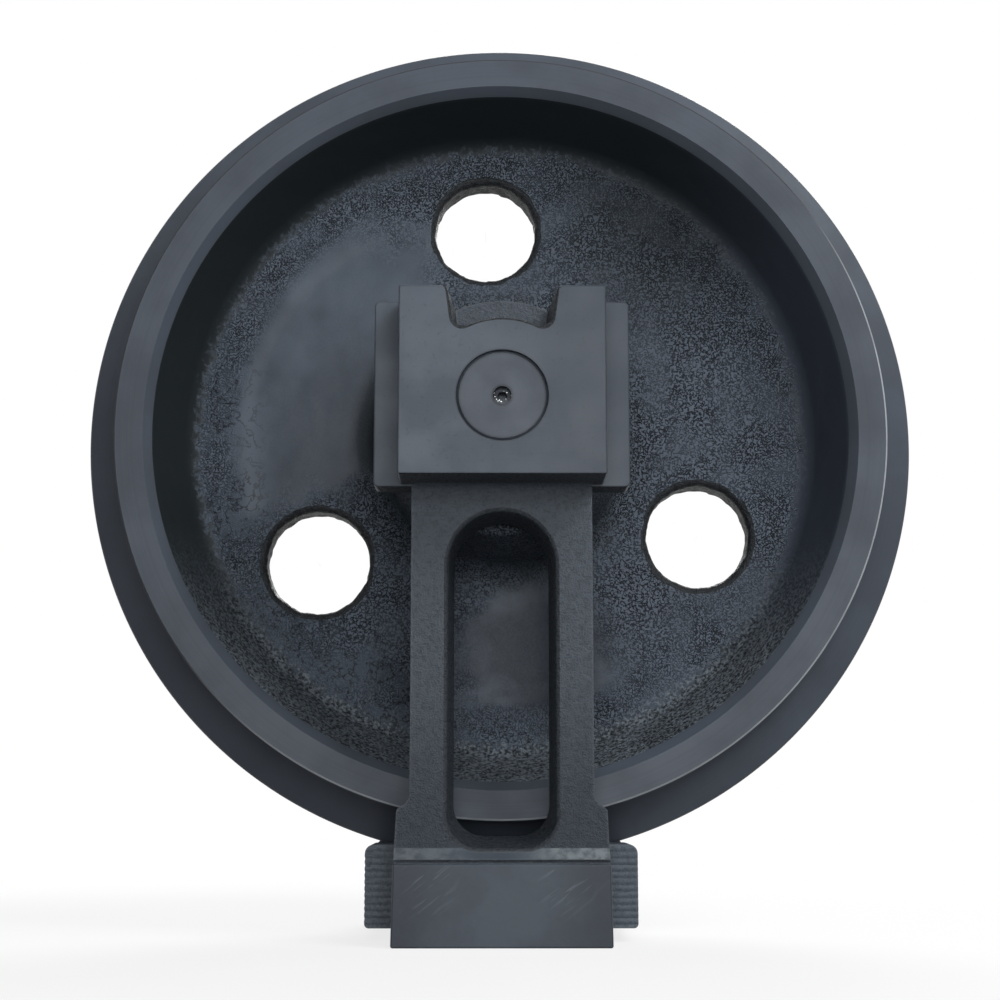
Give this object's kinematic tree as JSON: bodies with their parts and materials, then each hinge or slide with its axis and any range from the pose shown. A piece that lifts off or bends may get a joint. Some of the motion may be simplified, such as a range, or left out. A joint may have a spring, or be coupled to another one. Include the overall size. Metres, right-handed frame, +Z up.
{
  "type": "excavator front idler",
  "caption": "Cast track idler wheel with a centre guide flange, turning on a fixed shaft with floating seals between two slotted arms of a welded sliding yoke.",
  "frame": {"origin": "middle of the yoke's base, on the plane of the two feet, straight under the middle of the axle", "axes": "+Z up from the feet to the axle, +Y along the axle from the arm with the oil plug to the other arm, +X to the right as seen from the oil plug's side"},
  "size_m": [0.4999, 0.299, 0.543],
  "materials": {
    "wheel_paint": "satin paint on a sand casting",
    "arm_paint": "satin paint on a sand casting",
    "bar_paint": "satin paint, sawn ends",
    "weld_paint": "satin paint on weld beads",
    "shaft_steel": "ground, painted on its end",
    "pin_steel": "ground",
    "plug_steel": "bright",
    "washer_brass": "plain",
    "bush_bronze": "turned",
    "seal_iron": "lapped face",
    "seal_rubber": "matt"
  },
  "bodies": {
    "yoke": {"front_arm": "arm_paint", "rear_arm": "arm_paint", "crossbar": "bar_paint", "front_weld_beads": "weld_paint", "rear_weld_beads": "weld_paint", "shaft": "shaft_steel", "front_lock_pin": "pin_steel", "rear_lock_pin": "pin_steel", "oil_fill_plug": "plug_steel", "oil_plug_washer": "washer_brass", "front_shaft_o_ring": "seal_rubber", "rear_shaft_o_ring": "seal_rubber", "front_fixed_seal_ring": "seal_iron", "rear_fixed_seal_ring": "seal_iron", "front_fixed_toric": "seal_rubber", "rear_fixed_toric": "seal_rubber"},
    "wheel": {"idler_wheel": "wheel_paint", "front_bush": "bush_bronze", "rear_bush": "bush_bronze", "front_running_seal_ring": "seal_iron", "rear_running_seal_ring": "seal_iron", "front_running_toric": "seal_rubber", "rear_running_toric": "seal_rubber"}
  },
  "joints": [
    {"name": "wheel_spin", "type": "hinge", "parent": "yoke", "child": "wheel", "pos_m": [0, 0, 0.293], "axis": [0, 1, 0], "continuous": true}
  ]
}
